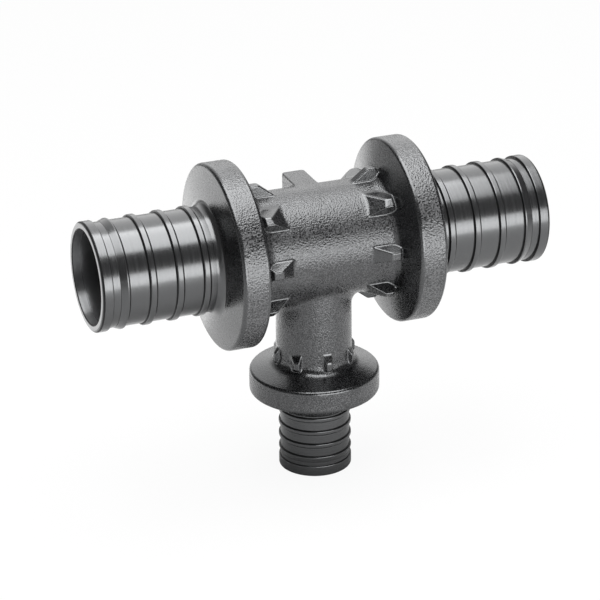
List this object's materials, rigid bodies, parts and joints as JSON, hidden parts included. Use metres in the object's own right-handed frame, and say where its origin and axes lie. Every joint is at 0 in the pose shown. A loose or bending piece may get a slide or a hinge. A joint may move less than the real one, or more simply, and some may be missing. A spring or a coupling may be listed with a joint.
{
  "type": "reducing pipe tee",
  "caption": "Moulded plastic reducing tee that joins a run of water pipe to a thinner branch, with ribbed spigots for push-on pipe and collars that compression sleeves are pressed against.",
  "frame": {"origin": "where the axis of the run and the axis of the branch cross", "axes": "+X along the run, -Z out of the branch, +Y towards the back, where the block on the shoulder is"},
  "size_m": [0.1204, 0.0478, 0.0862],
  "materials": {
    "body_plastic": "dark grey moulded polyphenylsulfone, fine spark-eroded grain on the body and collars, smooth satin on the spigots"
  },
  "bodies": {
    "root": {"tee_body": "body_plastic"}
  },
  "joints": []
}
